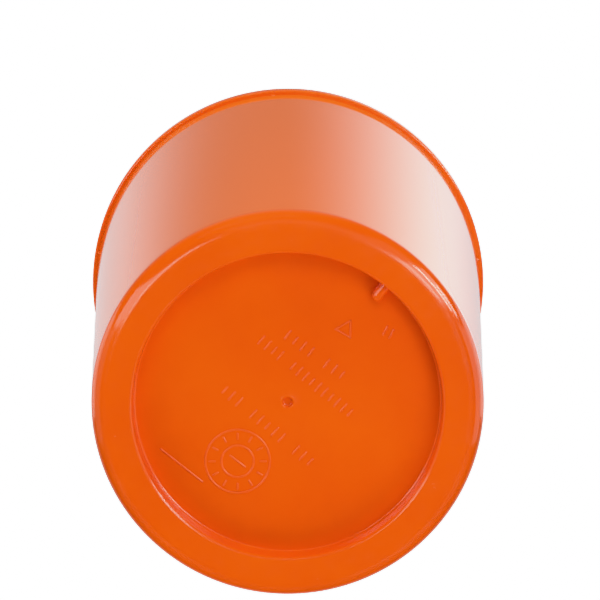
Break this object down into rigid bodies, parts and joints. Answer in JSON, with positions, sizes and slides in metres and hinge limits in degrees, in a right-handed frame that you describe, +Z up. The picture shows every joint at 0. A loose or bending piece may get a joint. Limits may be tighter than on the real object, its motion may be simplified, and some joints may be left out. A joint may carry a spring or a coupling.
{
  "type": "double-walled beaker",
  "caption": "Tapered double-walled plastic beaker with a rim collar over a satin shell, a rounded foot ring and a recessed base plate.",
  "frame": {"origin": "centre of the foot ring, in the plane the beaker stands on", "axes": "+Z up along the beaker's axis, out of its mouth; the locating lug under the base is towards +X and -Y"},
  "size_m": [0.0864, 0.0864, 0.1312],
  "materials": {
    "shell": "satin moulded orange plastic",
    "liner": "polished moulded orange plastic",
    "base": "semi-gloss moulded orange plastic"
  },
  "bodies": {
    "root": {"outer_shell": "shell", "inner_liner": "liner", "base_plate": "base"}
  },
  "joints": []
}
